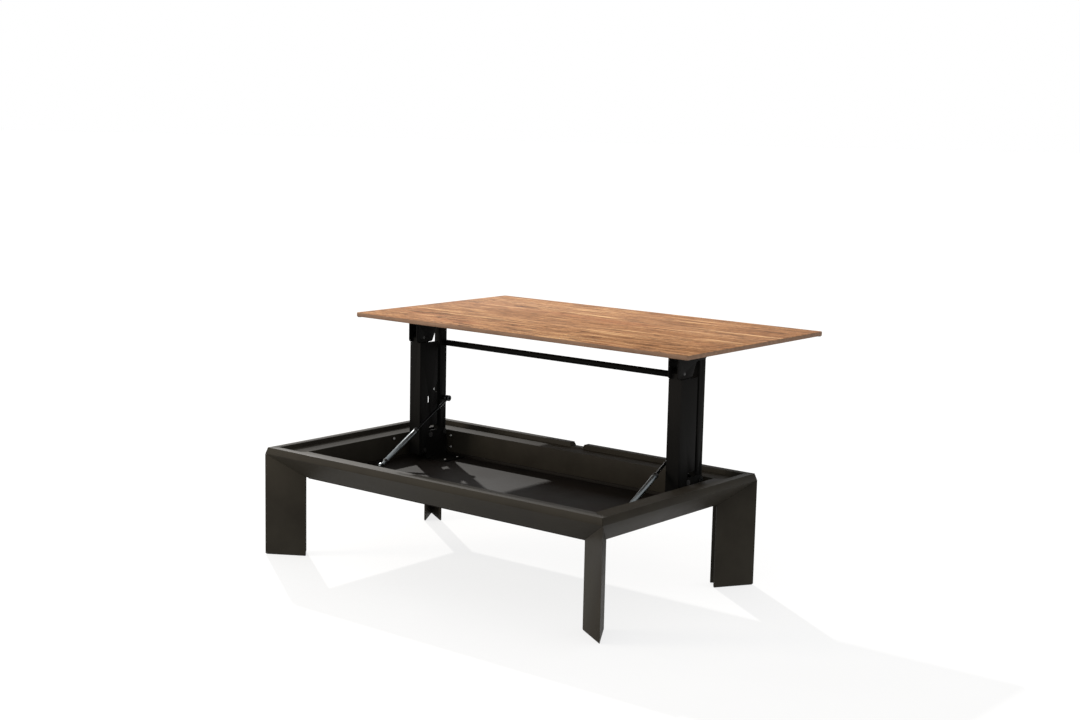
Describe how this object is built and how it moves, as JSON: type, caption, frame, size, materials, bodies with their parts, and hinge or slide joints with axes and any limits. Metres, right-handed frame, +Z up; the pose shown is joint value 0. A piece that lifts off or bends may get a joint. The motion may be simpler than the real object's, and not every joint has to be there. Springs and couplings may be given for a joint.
{
  "type": "lift top coffee table",
  "caption": "Coffee table with a faceted dark metal frame, an inset tray and a wooden top that lifts and slides on parallel arms with gas struts.",
  "frame": {"origin": "on the floor, under the middle of the whole table with its top raised", "axes": "+X along the table's long side, +Y towards the back, where the raised top stands, +Z up"},
  "size_m": [1.2, 1.037, 0.67],
  "materials": {
    "frame_powder_coat": "anthracite powder coat, fine texture, satin",
    "tray_powder_coat": "anthracite powder coat, fine texture, matt",
    "lift_powder_coat": "black powder coat, satin",
    "bright_fixings": "zinc plated steel",
    "dark_fixings": "blackened steel, oiled",
    "strut_black": "smooth dark lacquer, glossy",
    "wood_top": "reclaimed oak look with long dark streaks, matt lacquer",
    "rubber_black": "matt",
    "plastic_glide": "matt"
  },
  "bodies": {
    "frame": {"rail_front": "frame_powder_coat", "rail_rear": "frame_powder_coat", "rail_left": "frame_powder_coat", "rail_right": "frame_powder_coat", "leg_front_left": "frame_powder_coat", "glide_front_left": "plastic_glide", "corner_key_front_left": "bright_fixings", "leg_front_right": "frame_powder_coat", "glide_front_right": "plastic_glide", "corner_key_front_right": "bright_fixings", "leg_rear_right": "frame_powder_coat", "glide_rear_right": "plastic_glide", "corner_key_rear_right": "bright_fixings", "leg_rear_left": "frame_powder_coat", "glide_rear_left": "plastic_glide", "corner_key_rear_left": "bright_fixings", "tray_floor": "tray_powder_coat", "base_bracket_left": "lift_powder_coat", "front_lower_pin_left": "dark_fixings", "rear_lower_pin_left": "dark_fixings", "stop_buffer_inner_left": "rubber_black", "stop_buffer_outer_left": "rubber_black", "strut_anchor_left": "lift_powder_coat", "base_bracket_right": "lift_powder_coat", "front_lower_pin_right": "dark_fixings", "rear_lower_pin_right": "dark_fixings", "stop_buffer_inner_right": "rubber_black", "stop_buffer_outer_right": "rubber_black", "strut_anchor_right": "lift_powder_coat"},
    "front_arms": {"front_arm_left": "lift_powder_coat", "front_arm_right": "lift_powder_coat"},
    "rear_arms": {"rear_arm_left": "lift_powder_coat", "rear_arm_right": "lift_powder_coat", "cross_bar": "lift_powder_coat", "strut_stud_left": "dark_fixings", "strut_stud_right": "dark_fixings"},
    "top": {"table_top": "wood_top", "pad_front_left": "rubber_black", "pad_front_right": "rubber_black", "pad_rear_right": "rubber_black", "pad_rear_left": "rubber_black", "top_bracket_left": "lift_powder_coat", "top_bracket_right": "lift_powder_coat", "front_upper_pin_left": "dark_fixings", "front_upper_pin_right": "dark_fixings", "rear_upper_pin_left": "dark_fixings", "rear_upper_pin_right": "dark_fixings"},
    "strut_cylinders": {"strut_cylinder_left": "strut_black", "strut_cylinder_right": "strut_black"},
    "strut_rods": {"strut_rod_left": "dark_fixings", "strut_rod_right": "dark_fixings"}
  },
  "joints": [
    {"name": "lift", "type": "hinge", "parent": "frame", "child": "front_arms", "pos_m": [0, -0.0195, 0.251], "axis": [1, 0, 0], "range_deg": [0, 90]},
    {"name": "rear_arm_turn", "type": "hinge", "parent": "frame", "child": "rear_arms", "pos_m": [0, 0.0725, 0.294], "axis": [1, 0, 0], "range_deg": [-0.01, 90.01]},
    {"name": "top_level", "type": "hinge", "parent": "front_arms", "child": "top", "pos_m": [0, -0.0195, 0.595], "axis": [1, 0, 0], "range_deg": [-90.01, 0.01]},
    {"name": "strut_swing", "type": "hinge", "parent": "frame", "child": "strut_cylinders", "pos_m": [0, -0.2165, 0.236], "axis": [1, 0, 0], "range_deg": [-12.12, 0.02]},
    {"name": "strut_stroke", "type": "slide", "parent": "strut_cylinders", "child": "strut_rods", "axis": [0, 0.8671, 0.4981], "range_m": [-0.14332, 0.0001]}
  ],
  "couplings": [
    {"joint": "rear_arm_turn", "follows": "lift", "ratio": 1},
    {"joint": "top_level", "follows": "lift", "ratio": -1},
    {"joint": "strut_swing", "follows": "lift", "ratio": -0.1345},
    {"joint": "strut_stroke", "follows": "lift", "m_per_rad": -0.091174}
  ]
}
